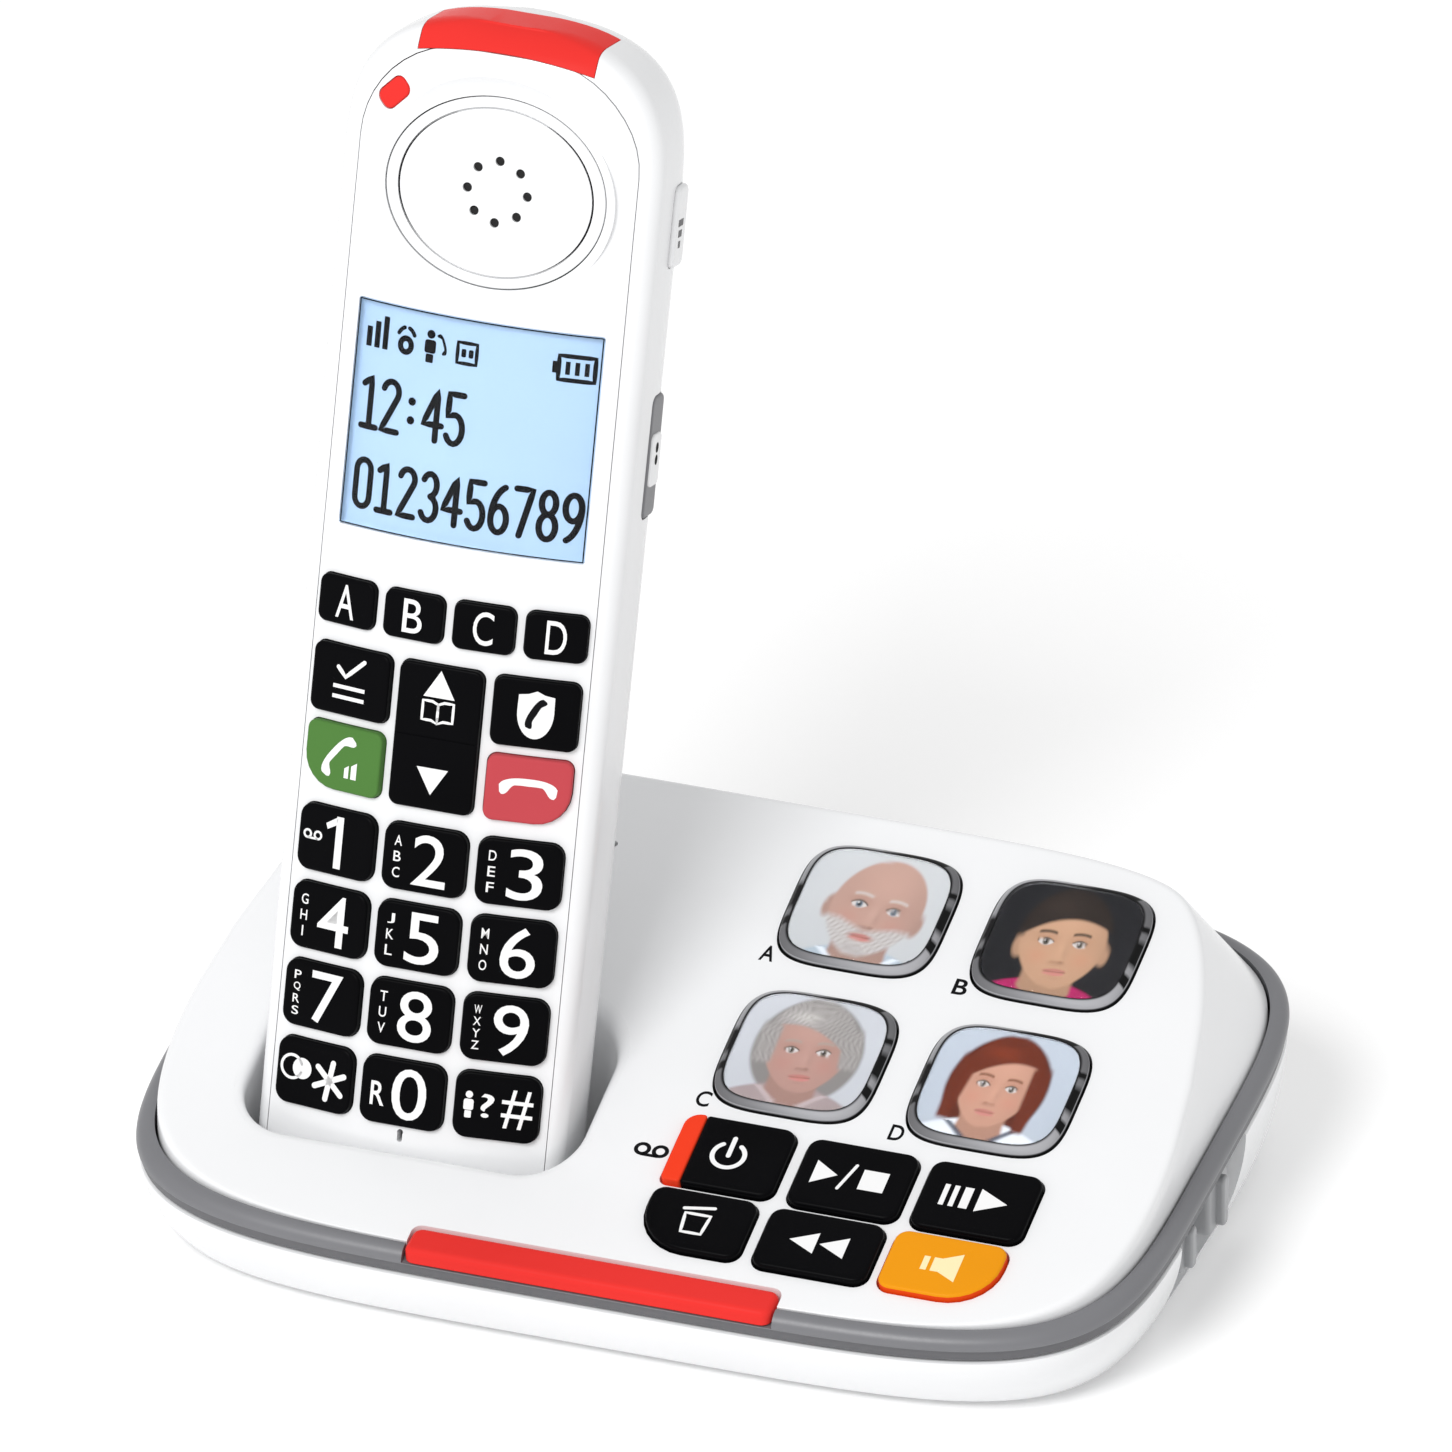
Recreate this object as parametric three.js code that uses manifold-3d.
// Cordless phone with its base: a handset standing in a sloped charging base that has an answering
// machine and four picture keys. Millimetres, +Z up, front towards -Y, the base centred on the origin.
import * as THREE from 'three';
import { mergeVertices } from 'three/addons/utils/BufferGeometryUtils.js';
import Module from 'manifold-3d';

const wasm = await Module();
wasm.setup();
const DEG = Math.PI / 180;

// ---- driving dimensions: base ----
const BELT_HALF_X = 74.56; // upper inner edge of the grey belt
const BELT_HALF_Y = 52.7;
const BELT_POWER = 4.757; // superellipse exponent of the base outline
const BELT_TILT = 6.8 * DEG;
const BELT_Z = 20.7; // height of the belt plane over the origin
const BELT_OUT = 2.4;
const BELT_DROP = 3.9;
const TOP_SLOPE = 17.47 * DEG;
const TOP_Z = 30.93; // height of the top plane over the origin
const WALL_START = 5.6; // cover height at which its side wall starts to lean in
const WALL_LEAN = 0.096;
const COVER_WALL = 2.3;
const COVER_SKIRT = 3.2; // how far the cover reaches down inside the belt
const FLOOR_Z = 0.9; // underside of the bottom cover
const HULL_TUCK = 4.4; // how far the hull tucks in at its foot
const HULL_WALL = 2;
const FOOT_STRIP_Y = 38;
const FOOT_STRIP_HALF = [46, 4];
const CENTRING_Y = -0.33; // brings the belt's extent centre onto the origin
const GAP = 0.35;
const RIM = 56; // points round the base outline

// ---- driving dimensions: base controls, in the plane of the top (x right, y up the slope) ----
const PHOTO_X = 31.1;
const PHOTO_Y = 7.02;
const PHOTO_PITCH = 29.1;
const PHOTO_HALF = 11.65;
const PHOTO_POWER = 4.18;
const PHOTO_PROUD = 1.4;
const TOUCH_PROUD = 1.1;
const KEY_DEPTH = 4.4;
const SPEAKER_AT = [-36.5, 21.5];
const SPEAKER_R = 15;
const BAR_HALF = 27.5;
const BAR_Z = [-1.5, 0.75]; // foot and top of the light bar, from the belt's plane
const BAR_DEEP = 3.4; // how far the bar reaches in over the cover
const BASE_BOARD_Z = [-8.4, -6.8];

// ---- driving dimensions: handset (u across, v up, z out of its face, from the cradle's front rim) ----
const LEAN = 16.3 * DEG;
const HANDSET_AT = [-35.2, -34.5, 20.1];
const HALF_WIDTH = 23.0;
const WIDTH_GAIN = 0.0068; // growth of the half width per mm of height
const DEPTH = 24.5;
const CROWN_R = 64;
const FOOT_V = -9;
const HEAD_V = 163;
const SEAM_U = 20.85;
const HANDSET_WALL = 1.8;
const PANEL = 2.0;
const KEY_PROUD = 0.9;
const KEY_TAIL = 3.7; // reach behind the face, clear of the board when pressed
const EAR_AT = [0.3, 138.9];
const EAR_HALF = [16.4, 13.8]; // half axes of the oval earpiece
const LENS_TOP_V = 158.4;
const PANEL_TOP_V = 158;
const PANEL_CORNER = 14;
const HANDSET_BOARD_Z = [-8.6, -7.1];
const SIDE_KEY_DEEP = 3.2;
const LENS_HALF = 13.2; // half width of the red lens on the head
const LENS_BACK = -13;
const HEAD_POWER = 2.8; // superellipse exponent of the head's outline

// ---- driving dimensions: cradle pocket ----
const POCKET_HALF = 25.3;
const POCKET_FRONT = 1.2; // distance in front of the handset face
const POCKET_BACK = -26.3;
const POCKET_FLOOR = -10;
const POCKET_WALL = 1.6;
const POCKET_BEND = 9.5; // bend between the floor and the back
const POCKET_CORNERS = [8, 8, 9, 9];
const PIN_X = 8; // charging pins and handset contacts, either side of the middle

// ---- colours ----
const white = { color: 0xf4f5f6, roughness: 0.22 };
const beltGrey = { color: 0x8b8c93, roughness: 0.45 };
const black = { color: 0x0b0b0d, roughness: 0.35 };
const redLens = { color: 0xf03c3c, roughness: 0.15 };
const clear = { color: 0xcfd6dc, roughness: 0.05 };
const board = { color: 0x1d5c38, roughness: 0.6 };
const metal = { color: 0xc9cacc, roughness: 0.3, metalness: 1 };
const rubber = { color: 0x2a2a2c, roughness: 0.9 };
const dark = { color: 0x232427, roughness: 0.6 };
const amber = { color: 0xf8a214, roughness: 0.25 };
const green = { color: 0x5c944e, roughness: 0.3 };
const red = { color: 0xde555d, roughness: 0.3 };
const displayBlue = { color: 0xbee0ff, roughness: 0.4 };
const sleeve = { color: 0x3c7a4a, roughness: 0.4 };

// for parts drawn with x along a side, y across it and z outward from it
const sideFrame = new THREE.Matrix4().makeBasis(
  new THREE.Vector3(0, 1, 0),
  new THREE.Vector3(0, 0, 1),
  new THREE.Vector3(1, 0, 0),
);

// ---- solids: three.js geometry in, booleans by manifold ----
function solid(geometry) {
  const bare = geometry.index ? geometry.toNonIndexed() : geometry.clone();
  bare.deleteAttribute('normal');
  bare.deleteAttribute('uv');
  const merged = mergeVertices(bare, 1e-4);
  const vertProperties = new Float32Array(merged.attributes.position.array);
  const triVerts = new Uint32Array(merged.index.array);
  return new wasm.Manifold(new wasm.Mesh({ numProp: 3, vertProperties, triVerts }));
}

function geometryOf(manifold) {
  const mesh = manifold.getMesh();
  const geometry = new THREE.BufferGeometry();
  geometry.setAttribute('position', new THREE.BufferAttribute(new Float32Array(mesh.vertProperties), 3));
  geometry.setIndex(new THREE.BufferAttribute(new Uint32Array(mesh.triVerts), 1));
  return geometry;
}

function mesh(name, shape, finish) {
  const geometry = shape.isBufferGeometry ? shape : geometryOf(shape);
  const item = new THREE.Mesh(geometry, new THREE.MeshStandardMaterial(finish));
  item.name = name;
  return item;
}

function boxBetween(low, high) {
  const size = high.map((value, i) => value - low[i]);
  const centre = high.map((value, i) => (value + low[i]) / 2);
  return new THREE.BoxGeometry(...size).translate(...centre);
}

// a prism on a shape in x and y, from z0 to z1
function prism(shape, z0, z1, segments = 2) {
  const options = { depth: z1 - z0, bevelEnabled: false, curveSegments: segments };
  return new THREE.ExtrudeGeometry(shape, options).translate(0, 0, z0);
}

// a button body from z0 to z1 whose outer end has a chamfer; outline(grow) gives its shape
function button(outline, z0, z1, chamfer, segments = 1) {
  const ring = (grow, z) => outline(grow).getPoints(segments).slice(0, -1)
    .map((point) => new THREE.Vector3(point.x, point.y, z));
  return loft([ring(0, z0), ring(0, z1 - chamfer), ring(-chamfer, z1)]);
}

// a disc or post along z
function disc(radius, z0, z1, sides = 24) {
  const shape = new THREE.CylinderGeometry(radius, radius, z1 - z0, sides);
  return shape.rotateX(Math.PI / 2).translate(0, 0, (z0 + z1) / 2);
}

// corner radii run anticlockwise from the lower left
function roundedRect(x0, y0, x1, y1, radii) {
  const [a, b, c, d] = Array.isArray(radii) ? radii : [radii, radii, radii, radii];
  const shape = new THREE.Shape();
  shape.moveTo(x0 + a, y0);
  shape.lineTo(x1 - b, y0);
  shape.absarc(x1 - b, y0 + b, b, -Math.PI / 2, 0);
  shape.lineTo(x1, y1 - c);
  shape.absarc(x1 - c, y1 - c, c, 0, Math.PI / 2);
  shape.lineTo(x0 + d, y1);
  shape.absarc(x0 + d, y1 - d, d, Math.PI / 2, Math.PI);
  shape.lineTo(x0, y0 + a);
  shape.absarc(x0 + a, y0 + a, a, Math.PI, 1.5 * Math.PI);
  return shape;
}

function superellipse(angle, halfX, halfY, power) {
  const bend = (value) => Math.sign(value) * Math.abs(value) ** (2 / power);
  return new THREE.Vector2(halfX * bend(Math.cos(angle)), halfY * bend(Math.sin(angle)));
}

function superellipseShape(half, power, count) {
  const points = [];
  for (let i = 0; i <= count; i += 1) {
    points.push(superellipse((2 * Math.PI * (i + 0.5)) / count, half, half, power));
  }
  return new THREE.Shape(points);
}

// a closed skin through rings of equal length; the ends are fans about each end ring's centre,
// and wrap joins the last ring to the first instead
function loft(rings, wrap = false) {
  const count = rings[0].length;
  const points = rings.flat();
  const index = [];
  const steps = wrap ? rings.length : rings.length - 1;
  for (let k = 0; k < steps; k += 1) {
    const next = (k + 1) % rings.length;
    for (let i = 0; i < count; i += 1) {
      const j = (i + 1) % count;
      const corners = [k * count + i, k * count + j, next * count + j, next * count + i];
      index.push(corners[0], corners[1], corners[2], corners[0], corners[2], corners[3]);
    }
  }
  if (!wrap) {
    [0, rings.length - 1].forEach((k) => {
      const centre = new THREE.Vector3();
      rings[k].forEach((point) => centre.addScaledVector(point, 1 / count));
      points.push(centre);
      for (let i = 0; i < count; i += 1) {
        const a = k * count + i;
        const b = k * count + ((i + 1) % count);
        index.push(points.length - 1, k === 0 ? b : a, k === 0 ? a : b);
      }
    });
  }
  const geometry = new THREE.BufferGeometry().setFromPoints(points);
  geometry.setIndex(index);
  return geometry;
}

// ---- base: outlines ----
// a point of the base outline, moved out by offset, in the belt's own plane
function beltPoint(angle, offset) {
  return superellipse(angle, BELT_HALF_X + offset, BELT_HALF_Y + offset, BELT_POWER);
}

function beltRing(offset, drop) {
  const ring = [];
  for (let i = 0; i < RIM; i += 1) {
    const flat = beltPoint((2 * Math.PI * i) / RIM, offset);
    const point = new THREE.Vector3(flat.x, flat.y, -drop);
    ring.push(point.applyAxisAngle(new THREE.Vector3(1, 0, 0), BELT_TILT).setZ(point.z + BELT_Z));
  }
  return ring;
}

const topHeight = (y) => TOP_Z + Math.tan(TOP_SLOPE) * y;
const beltHeight = (y) => BELT_Z + Math.tan(BELT_TILT) * y;

// the edge where the sloped top ends: the outline moved in further the higher the wall has become
function topRing(offset, sink) {
  return beltRing(offset, 0).map((point) => {
    const outward = new THREE.Vector2(
      Math.sign(point.x) * Math.abs(point.x / BELT_HALF_X) ** (BELT_POWER - 1) / BELT_HALF_X,
      Math.sign(point.y) * Math.abs(point.y / BELT_HALF_Y) ** (BELT_POWER - 1) / BELT_HALF_Y,
    ).normalize();
    let inset = 0;
    for (let pass = 0; pass < 12; pass += 1) {
      const y = point.y - outward.y * inset;
      const rise = Math.max(0, topHeight(y) - beltHeight(y) - WALL_START);
      inset = (inset + WALL_LEAN * rise * rise) / 2;
    }
    const x = point.x - outward.x * inset;
    const y = point.y - outward.y * inset;
    return new THREE.Vector3(x, y, topHeight(y) - sink);
  });
}

function coverBlock(offset, sink, skirt) {
  return solid(loft([beltRing(offset, skirt), beltRing(offset, 0.6 + sink), topRing(offset, sink)]));
}

// the hull under the belt, from its flat underside up to the belt
function hullBlock(offset, bottom, extra) {
  const levels = [0, 0.2, 0.5, 1];
  const rings = levels.map((level) => beltRing(BELT_OUT - 0.3, BELT_DROP + GAP).map((point) => {
    const tuck = HULL_TUCK * (1 - level) ** 1.8 + offset;
    const scale = [1 - tuck / BELT_HALF_X, 1 - tuck / BELT_HALF_Y];
    const z = bottom + (point.z - bottom) * level;
    return new THREE.Vector3(point.x * scale[0], point.y * scale[1], z);
  }));
  if (extra > 0) {
    rings.push(rings[rings.length - 1].map((point) => new THREE.Vector3(point.x, point.y, point.z + extra)));
  }
  return solid(loft(rings));
}

// ---- frames of the sloped top and of the handset ----
const topFrame = new THREE.Group();
topFrame.position.set(0, 0, TOP_Z);
topFrame.rotation.x = TOP_SLOPE;
topFrame.updateMatrix();

const handset = new THREE.Group();
handset.position.set(...HANDSET_AT);
handset.rotation.x = Math.PI / 2 - LEAN;
handset.updateMatrix();

const inTop = (geometry) => solid(geometry.clone().applyMatrix4(topFrame.matrix));
const inHandset = (geometry) => solid(geometry.clone().applyMatrix4(handset.matrix));

// ---- base: cradle pocket, as a plan prism crossed with a side profile prism ----
function pocketBlock(grow, top) {
  const half = POCKET_HALF + grow;
  const front = POCKET_FRONT + grow;
  const back = POCKET_BACK - grow;
  const floor = POCKET_FLOOR - grow;
  const bend = POCKET_BEND + grow;
  // the plan lies in u and z, and is drawn in x and y before it is stood up along v
  const plan = roundedRect(-half, -front, half, -back, POCKET_CORNERS.map((radius) => radius + grow));
  const column = prism(plan, -60, top).rotateX(-Math.PI / 2);
  const profile = new THREE.Shape();
  profile.moveTo(-front, floor);
  profile.lineTo(-back - bend, floor);
  profile.absarc(-back - bend, floor + bend, bend, -Math.PI / 2, 0);
  profile.lineTo(-back, top);
  profile.lineTo(-front, top);
  const slab = prism(profile, -60, 60, 4).rotateY(Math.PI / 2);
  return solid(column).intersect(solid(slab)).transform(handset.matrix.elements);
}

// ---- base controls: outlines in the plane of the top ----
// columns and rows of the answering keys, measured from the centre of the four picture keys
const touchKeys = [
  { name: 'key_machine_power', x: [-27.2, -10.6], s: [29.2, 42.4], radii: [1, 2, 2, 4], finish: black },
  { name: 'key_play_stop', x: [-8.4, 8.1], s: [29.8, 42.6], radii: [2, 2, 2, 2], finish: black },
  { name: 'key_skip_forward', x: [10.1, 26.75], s: [29.8, 42.6], radii: [2, 2, 2, 2], finish: black },
  { name: 'key_delete', x: [-27.3, -11.6], s: [43.6, 54.8], radii: [7.5, 2, 2, 2], finish: black },
  { name: 'key_rewind', x: [-9.5, 7.6], s: [43.8, 55.1], radii: [2, 2, 2, 2], finish: black },
  { name: 'key_speaker', x: [9.3, 26], s: [43.8, 55], radii: [2, 7.5, 2, 2], finish: amber },
];

function touchOutline(key, grow) {
  const radii = key.radii.map((radius) => radius + grow);
  const [left, right] = key.x;
  const [upper, lower] = key.s;
  return roundedRect(PHOTO_X + left - grow, PHOTO_Y - lower - grow, PHOTO_X + right + grow,
    PHOTO_Y - upper + grow, radii);
}

const photoKeys = ['a', 'b', 'c', 'd'].map((letter, i) => ({
  name: `photo_key_${letter}`,
  x: PHOTO_X + PHOTO_PITCH * ((i % 2) - 0.5),
  y: PHOTO_Y - PHOTO_PITCH * (Math.floor(i / 2) - 0.5),
}));

// ---- base: covers, belt, light ----
function lightBarBlock(grow) {
  // the opening for the bar runs clear through the front of the belt
  const front = -BELT_HALF_Y - BELT_OUT + 0.02 - 6 * grow;
  const back = -BELT_HALF_Y + BAR_DEEP + grow;
  const outline = roundedRect(-BAR_HALF - grow, front, BAR_HALF + grow, back, 1.2);
  const bar = prism(outline, BAR_Z[0] - grow, BAR_Z[1]);
  return solid(bar.rotateX(BELT_TILT).translate(0, 0, BELT_Z));
}

function topCover() {
  let cover = coverBlock(-GAP, 0, COVER_SKIRT).subtract(coverBlock(-GAP - COVER_WALL, COVER_WALL, 20));
  cover = cover.add(pocketBlock(POCKET_WALL, 60).intersect(coverBlock(-GAP - 1, 0.5, 20)));
  cover = cover.subtract(pocketBlock(0, 70));
  photoKeys.forEach((key) => {
    const hole = superellipseShape(PHOTO_HALF + GAP, PHOTO_POWER, 20);
    cover = cover.subtract(inTop(prism(hole, -6, 6).translate(key.x, key.y, 0)));
  });
  touchKeys.forEach((key) => {
    cover = cover.subtract(inTop(prism(touchOutline(key, GAP), -6, 6, 1)));
  });
  chargePins.forEach((x) => {
    cover = cover.subtract(inHandset(boxBetween([x - 1.5, -14, -8.5], [x + 1.5, -8, -4.5])));
  });
  return cover.subtract(lightBarBlock(GAP));
}

function beltTrim() {
  const rounding = [[0, 0], [1.3, -0.2], [2.1, -0.7], [BELT_OUT, -1.5]];
  const section = [...rounding, [BELT_OUT, -BELT_DROP], [0, -BELT_DROP]];
  const ring = solid(loft(section.map(([offset, z]) => beltRing(offset, -z)).reverse(), true));
  return ring.subtract(lightBarBlock(GAP));
}

// ---- base: right side recess with its two sliders ----
const RECESS_Y = [-17, 11];
const RECESS_X = 71.4;
const RECESS_Z = [3.6, 15];
const sliders = [
  { name: 'ringer_volume_slider', y: 3.2, half: 4.2, z: [6.4, 15.6], reach: 76.4 },
  { name: 'ringer_tone_slider', y: -9.0, half: 2.6, z: [6.0, 13.8], reach: 75.8 },
];
const SLIDER_TRAVEL = 3;

function sliderKnob(slider) {
  const { y, half, z, reach } = slider;
  const outline = roundedRect(y - half, z[0], y + half, z[1], 1.8);
  const cap = prism(outline, RECESS_X + GAP, reach - 1.2, 2);
  const ridge = prism(roundedRect(y - 1.1, z[0] + 0.6, y + 1.1, z[1] - 0.6, 0.8), reach - 2, reach, 1);
  const stem = boxBetween([y - 1.5, (z[0] + z[1]) / 2 - 1.2, RECESS_X - 4.2],
    [y + 1.5, (z[0] + z[1]) / 2 + 1.2, RECESS_X + 1]);
  const knob = solid(cap).add(solid(ridge)).add(solid(stem));
  return knob.transform(sideFrame.elements);
}

// ---- base: sockets in the back wall, under the belt ----
const sockets = [{ name: 'line_socket', x: 24 }, { name: 'power_socket', x: 42 }];
const SOCKET_HALF = 6.6;
const SOCKET_Z = [4.4, 14.6];
const SOCKET_Y = [39, 50.6];

function socketBody(socket) {
  const body = solid(boxBetween([socket.x - SOCKET_HALF, SOCKET_Y[0], SOCKET_Z[0]],
    [socket.x + SOCKET_HALF, SOCKET_Y[1], SOCKET_Z[1]]));
  const mouth = boxBetween([socket.x - 4.9, SOCKET_Y[0] + 1.6, SOCKET_Z[0] + 1.6],
    [socket.x + 4.9, SOCKET_Y[1] + 1, SOCKET_Z[1] - 1.8]);
  return body.subtract(solid(mouth));
}

function bottomCover() {
  const recess = boxBetween([RECESS_X, RECESS_Y[0], RECESS_Z[0]], [90, RECESS_Y[1], 40]);
  const behind = boxBetween([RECESS_X - 2, RECESS_Y[0] - 2, RECESS_Z[0] - 2], [90, RECESS_Y[1] + 2, 60]);
  const inside = hullBlock(HULL_WALL, FLOOR_Z + HULL_WALL, 8).subtract(solid(behind));
  let cover = hullBlock(0, FLOOR_Z, 0).subtract(solid(recess)).subtract(inside);
  sliders.forEach((slider) => {
    const middle = (slider.z[0] + slider.z[1]) / 2;
    const reach = 1.5 + SLIDER_TRAVEL + GAP;
    cover = cover.subtract(solid(boxBetween([RECESS_X - 4, slider.y - reach, middle - 1.2 - GAP],
      [RECESS_X + 2, slider.y + reach, middle + 1.2 + GAP])));
  });
  sockets.forEach((socket) => {
    cover = cover.subtract(solid(boxBetween([socket.x - SOCKET_HALF - GAP, 42, SOCKET_Z[0] - GAP],
      [socket.x + SOCKET_HALF + GAP, 70, SOCKET_Z[1] + GAP])));
  });
  return cover;
}

// ---- base: inside ----
const chargePins = [-PIN_X, PIN_X];

function contactCarrier() {
  let carrier = solid(boxBetween([-13, -14, -10], [13, -11.95, -3]));
  chargePins.forEach((x) => {
    const prong = boxBetween([x - 1.1, -13, -8], [x + 1.1, FOOT_V - 0.4, -5]);
    carrier = carrier.add(solid(prong));
  });
  return carrier;
}

function footStrip(y) {
  const [halfLong, halfWide] = FOOT_STRIP_HALF;
  return prism(roundedRect(-halfLong, y - halfWide, halfLong, y + halfWide, halfWide), 0, FLOOR_Z - 0.3, 4);
}

// ---- handset: outer body ----
const MID_DEPTH = -11.5; // where the handset is widest

// one slice: a crowned front, small corners, and a back that is half a superellipse
function bodySection(half, front, back, v) {
  const corner = Math.min(3.2, half * 0.3);
  const edge = half - corner;
  const crown = (u) => front - (u * u) / (2 * CROWN_R);
  const turn = Math.asin(edge / CROWN_R);
  const side = [];
  for (let i = 1; i <= 2; i += 1) {
    const angle = (Math.PI / 2 - turn) * (1 - i / 2);
    side.push([edge + corner * Math.cos(angle), crown(edge) - corner + corner * Math.sin(angle)]);
  }
  side[side.length - 1][0] = half;
  const ring = [];
  for (let i = -3; i <= 3; i += 1) {
    ring.push([(edge * i) / 3, crown((edge * i) / 3)]);
  }
  ring.push(...side);
  for (let i = 0; i <= 10; i += 1) {
    const arc = superellipse((Math.PI * i) / 10, half, back + MID_DEPTH, 2.7);
    ring.push([arc.x, MID_DEPTH - arc.y]);
  }
  ring.push(...side.reverse().map(([u, z]) => [-u, z]));
  return ring.map(([u, z]) => new THREE.Vector3(u, v, z));
}

// the head closes as a rounded cap and the foot has a large bend at the back
function bodyBlock(shrink) {
  const rings = [];
  const foot = FOOT_V + shrink;
  const head = HEAD_V - shrink;
  const footBend = 9;
  const headRise = 23;
  const headBend = 11;
  const heights = [0, 0.6, 2.4, 5, 9];
  heights.forEach((step) => {
    const v = foot + step;
    const fall = footBend - Math.sqrt(footBend ** 2 - (footBend - Math.min(step, footBend)) ** 2);
    const pinch = step < 0.5 ? 1.2 : 0;
    rings.push({ v, tuck: pinch, front: -pinch, back: DEPTH - fall });
  });
  rings.push({ v: 60, tuck: 0, front: 0, back: DEPTH });
  rings.push({ v: head - headRise, tuck: 0, front: 0, back: DEPTH });
  [0.3, 0.55, 0.75, 0.88, 0.96, 1].forEach((step) => {
    const v = head - headRise + headRise * step;
    const half = 1 - (1 - Math.min(step, 0.992) ** HEAD_POWER) ** (1 / HEAD_POWER);
    const near = Math.max(0, 1 - (head - v) / headBend);
    const bend = headBend * (1 - Math.sqrt(1 - Math.min(near, 0.93) ** 2));
    rings.push({ v, squeeze: half, tuck: 0, front: -bend * 0.55, back: DEPTH - bend });
  });
  return rings.map((ring) => {
    const full = HALF_WIDTH + WIDTH_GAIN * ring.v - ring.tuck - shrink;
    const half = full * (1 - (ring.squeeze || 0));
    return bodySection(half, ring.front - shrink, ring.back - shrink, ring.v);
  });
}

const outerBody = () => solid(loft(bodyBlock(0)));
const innerBody = () => solid(loft(bodyBlock(HANDSET_WALL)));

function panelOutline(grow) {
  const side = SEAM_U + grow;
  const radii = [3, 3, PANEL_CORNER, PANEL_CORNER];
  return roundedRect(-side, FOOT_V + 2.2 - grow, side, PANEL_TOP_V + grow, radii);
}

// ---- handset: keys ----
const KEY_ROW = 11.472;
const KEY_TALL = 9.755;
const DIGIT_TOP = 46.36;
const digitNames = ['1', '2', '3', '4', '5', '6', '7', '8', '9', 'star', '0', 'hash'];
const columns = [[-19.86, -7.53], [-6.21, 6.21], [7.53, 19.86]];
const handsetKeys = digitNames.map((digit, i) => {
  const top = DIGIT_TOP - KEY_ROW * Math.floor(i / 3);
  return { name: `key_${digit}`, u: columns[i % 3], v: [top - KEY_TALL, top], radii: 2, finish: black };
});
handsetKeys.push(
  { name: 'key_a', u: [-20.2, -11.0], v: [73, 80], radii: 1.4, finish: black },
  { name: 'key_b', u: [-9.6, -0.5], v: [73, 80], radii: 1.4, finish: black },
  { name: 'key_c', u: [0.9, 9.95], v: [73, 80], radii: 1.4, finish: black },
  { name: 'key_d', u: [11.2, 20.2], v: [73, 80], radii: 1.4, finish: black },
  { name: 'key_menu', u: [-20.1, -7.5], v: [60, 70.1], radii: 1.4, finish: black },
  { name: 'key_block', u: [7.6, 20.1], v: [60, 70.1], radii: 1.4, finish: black },
  { name: 'key_talk', u: [-20, -7.6], v: [48.95, 58.6], radii: [5, 1.4, 1.4, 1.4], finish: green },
  { name: 'key_end', u: [7.6, 20], v: [48.95, 58.6], radii: [1.4, 5, 1.4, 1.4], finish: red },
  { name: 'key_updown', u: [-6.27, 6.27], v: [48.9, 70.1], radii: 1.4, finish: black },
);

// each key stands square to the crowned face at its own place
function keyPlace(key) {
  const u = (key.u[0] + key.u[1]) / 2;
  const v = (key.v[0] + key.v[1]) / 2;
  const place = new THREE.Matrix4().makeRotationY(u / CROWN_R);
  return place.setPosition(u, v, -(u * u) / (2 * CROWN_R));
}

function keyShape(key, grow) {
  const half = [(key.u[1] - key.u[0]) / 2 + grow, (key.v[1] - key.v[0]) / 2 + grow];
  const radii = Array.isArray(key.radii) ? key.radii.map((radius) => radius + grow) : key.radii + grow;
  return roundedRect(-half[0], -half[1], half[0], half[1], radii);
}

function keyCap(key) {
  return button((grow) => keyShape(key, grow), -KEY_TAIL, KEY_PROUD, 0.35).applyMatrix4(keyPlace(key));
}

function keyHole(key) {
  return prism(keyShape(key, GAP), -5, 4, 1).applyMatrix4(keyPlace(key));
}

// ---- handset: panel, shell, lenses ----
const LCD = { u: [-18.4, 18.4], v: [87.5, 120.6] };
const messageLed = roundedRect(-2.45, -1.55, 2.45, 1.55, 1.2);
const LED_AT = [-16.0, 151.2];
const LED_TURN = 45 * DEG;
const EAR_RIM = -2.3;

function frontShell() {
  const skin = outerBody().subtract(solid(loft(bodyBlock(PANEL))));
  let panel = skin.intersect(solid(prism(panelOutline(0), -7, 5, 3)));
  handsetKeys.forEach((key) => {
    panel = panel.subtract(solid(keyHole(key)));
  });
  const window = roundedRect(LCD.u[0] - GAP, LCD.v[0] - GAP, LCD.u[1] + GAP, LCD.v[1] + GAP, 0.8);
  panel = panel.subtract(solid(prism(window, -8, 5, 1)));
  const earHole = disc(1, -8, 5, 28).scale(EAR_HALF[0] + GAP, EAR_HALF[1] + GAP, 1);
  panel = panel.subtract(solid(earHole.translate(...EAR_AT, 0)));
  const dish = new THREE.CylinderGeometry(1.24, 1, 2.4, 28).rotateX(Math.PI / 2);
  dish.scale(EAR_HALF[0] + GAP, EAR_HALF[1] + GAP, 1);
  panel = panel.subtract(solid(dish.translate(...EAR_AT, EAR_RIM + 1.2 + 0.02)));
  const ledHole = new THREE.Shape(roundedRect(-2.8, -1.9, 2.8, 1.9, 1.5).getPoints(2));
  panel = panel.subtract(solid(prism(ledHole, -8, 5).rotateZ(LED_TURN).translate(...LED_AT, 0)));
  panel = panel.subtract(solid(lensBlock(GAP)));
  return panel;
}

function lensBlock(grow) {
  const low = [-LENS_HALF - grow, LENS_TOP_V - grow, LENS_BACK - grow];
  return boxBetween(low, [LENS_HALF + grow, HEAD_V + 5, 5]);
}

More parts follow.
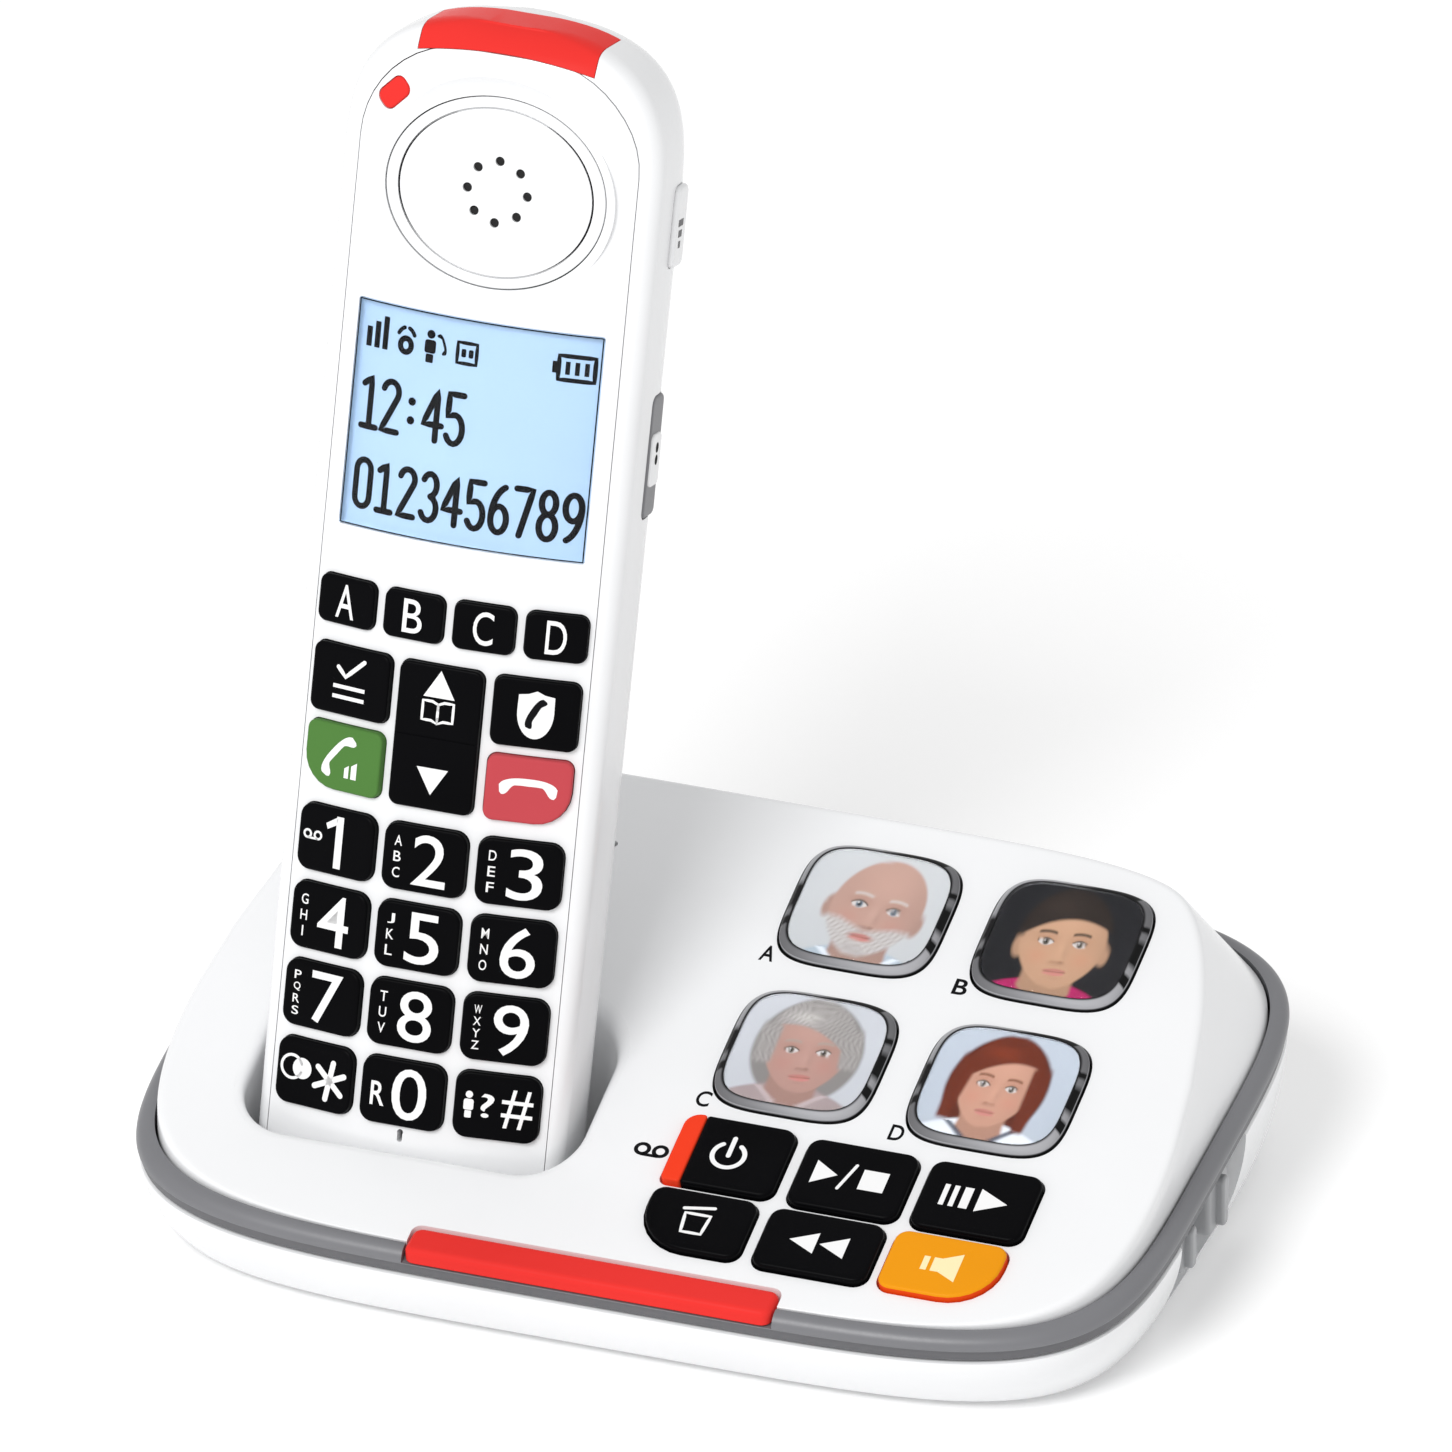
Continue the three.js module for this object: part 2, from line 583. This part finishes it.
function rearShell() {
  let shell = outerBody().subtract(innerBody());
  shell = shell.subtract(solid(prism(panelOutline(GAP), -8, 6, 3)));
  shell = shell.subtract(solid(lensBlock(GAP)));
  shell = shell.subtract(solid(prism(doorOutline(GAP), -40, -17, 3)));
  shell = shell.subtract(solid(sideCut(boost, GAP)));
  shell = shell.subtract(solid(sideCut(volume, GAP)));
  contacts.forEach((contact) => {
    shell = shell.subtract(solid(contactBlock(contact, GAP)));
  });
  return shell;
}

const doorOutline = (grow) => roundedRect(-15 - grow, 34 - grow, 15 + grow, 92 + grow, 3);

function batteryDoor() {
  const skin = outerBody().subtract(innerBody());
  return skin.intersect(solid(prism(doorOutline(0), -40, -17.3, 3)));
}

function ringerLens() {
  const skin = outerBody().subtract(innerBody());
  return skin.intersect(solid(lensBlock(0)));
}

function messageLens() {
  return prism(messageLed, -4.2, -1.6, 1).rotateZ(LED_TURN).translate(...LED_AT, 0);
}

function displayLens() {
  const skin = outerBody().subtract(solid(loft(bodyBlock(1.2))));
  const window = roundedRect(LCD.u[0], LCD.v[0], LCD.u[1], LCD.v[1], 0.6);
  return skin.intersect(solid(prism(window, -6, 5, 1)));
}

function earpieceCover() {
  // radii as shares of the oval's half axes
  const profile = [[0, -2], [1, -1.4], [1, 0], [0.88, 0], [0.45, -0.6], [0, -0.8]];
  const points = profile.map(([share, height]) => new THREE.Vector2(share, EAR_RIM + height));
  const oval = new THREE.LatheGeometry(points, 28).rotateX(Math.PI / 2).scale(...EAR_HALF, 1);
  let cover = solid(oval);
  for (let i = 0; i < 8; i += 1) {
    const angle = (2 * Math.PI * i) / 8;
    const hole = disc(0.5, -8, 3, 6).translate(4.5 * Math.cos(angle), 4.5 * Math.sin(angle), 0);
    cover = cover.subtract(solid(hole));
  }
  return cover.translate([...EAR_AT, 0]);
}

// ---- handset: side keys, drawn with x along v, y towards the face and z outward ----
const boost = { v: 135.8, half: 6, z: -13.6, tall: 2.3, proud: 0.7 };
const volume = { v: 102, half: 9, z: -13.6, tall: 2.6, proud: 0.5 };

function sideCut(key, grow) {
  const side = HALF_WIDTH + WIDTH_GAIN * key.v;
  return boxBetween([side - 6, key.v - key.half - grow, key.z - key.tall - grow],
    [side + 4, key.v + key.half + grow, key.z + key.tall + grow]);
}

function sideKey(key) {
  const side = HALF_WIDTH + WIDTH_GAIN * key.v;
  const outline = (grow) => roundedRect(key.v - key.half - grow, key.z - key.tall - grow,
    key.v + key.half + grow, key.z + key.tall + grow, 1.2 + grow);
  return button(outline, side - SIDE_KEY_DEEP, side + key.proud, 0.5).applyMatrix4(sideFrame);
}

const contacts = [{ name: 'handset_contact_left', u: -PIN_X }, { name: 'handset_contact_right', u: PIN_X }];

function contactBlock(contact, grow) {
  return boxBetween([contact.u - 2.2 - grow, FOOT_V - 1, -8.6 - grow],
    [contact.u + 2.2 + grow, FOOT_V + 2.4 + grow, -4.4 + grow]);
}

// ---- assembly ----
const phone = new THREE.Group();
phone.position.y = CENTRING_Y;
phone.add(topFrame, handset);

phone.add(
  mesh('base_top_cover', topCover(), white),
  mesh('belt_trim', beltTrim(), beltGrey),
  mesh('base_bottom_cover', bottomCover(), white),
  mesh('front_light_bar', lightBarBlock(0), redLens),
  mesh('foot_strip_front', footStrip(-FOOT_STRIP_Y), rubber),
  mesh('foot_strip_rear', footStrip(FOOT_STRIP_Y), rubber),
);
sockets.forEach((socket) => phone.add(mesh(socket.name, socketBody(socket), dark)));
sliders.forEach((slider) => phone.add(mesh(slider.name, sliderKnob(slider), beltGrey)));

photoKeys.forEach((key) => {
  const outline = (grow) => superellipseShape(PHOTO_HALF + grow, PHOTO_POWER, 20);
  const cap = mesh(key.name, button(outline, -KEY_DEPTH, PHOTO_PROUD, 0.9), clear);
  cap.position.set(key.x, key.y, 0);
  topFrame.add(cap);
});
touchKeys.forEach((key) => {
  const cap = button((grow) => touchOutline(key, grow), -KEY_DEPTH, TOUCH_PROUD, 0.4);
  topFrame.add(mesh(key.name, cap, key.finish));
});
topFrame.add(
  mesh('base_speaker', disc(SPEAKER_R, -9.5, -COVER_WALL - 0.6).translate(...SPEAKER_AT, 0), dark),
  mesh('base_board', boxBetween([-6, -44, BASE_BOARD_Z[0]], [56, 31, BASE_BOARD_Z[1]]), board),
);

handset.add(
  mesh('handset_front_shell', frontShell(), white),
  mesh('handset_rear_shell', rearShell(), white),
  mesh('battery_door', batteryDoor(), white),
  mesh('display_lens', displayLens(), clear),
  mesh('display_module', boxBetween([-18.2, 86, -6.9], [18.2, 122, -5.1]), displayBlue),
  mesh('ringer_light_lens', ringerLens(), redLens),
  mesh('message_light_lens', messageLens(), redLens),
  mesh('earpiece_cover', earpieceCover(), white),
  mesh('earpiece_speaker', disc(9, -6.6, -4.8, 16).translate(...EAR_AT, 0), dark),
  mesh('handset_board', boxBetween([-18, -3, HANDSET_BOARD_Z[0]], [18, 152, HANDSET_BOARD_Z[1]]), board),
  mesh('boost_button', sideKey(boost), white),
  mesh('volume_rocker', sideKey(volume), beltGrey),
  mesh('contact_carrier', contactCarrier(), metal),
);
contacts.forEach((contact) => {
  const pad = boxBetween([contact.u - 2.2, FOOT_V + 0.15, -8.6], [contact.u + 2.2, FOOT_V + 2.4, -4.4]);
  handset.add(mesh(contact.name, pad, metal));
});
[-5.7, 5.7].forEach((u, i) => {
  const cell = new THREE.CylinderGeometry(5.2, 5.2, 44, 12).translate(u, 62, -15.4);
  handset.add(mesh(`battery_${i + 1}`, cell, sleeve));
});
handsetKeys.forEach((key) => handset.add(mesh(key.name, keyCap(key), key.finish)));

export default phone;
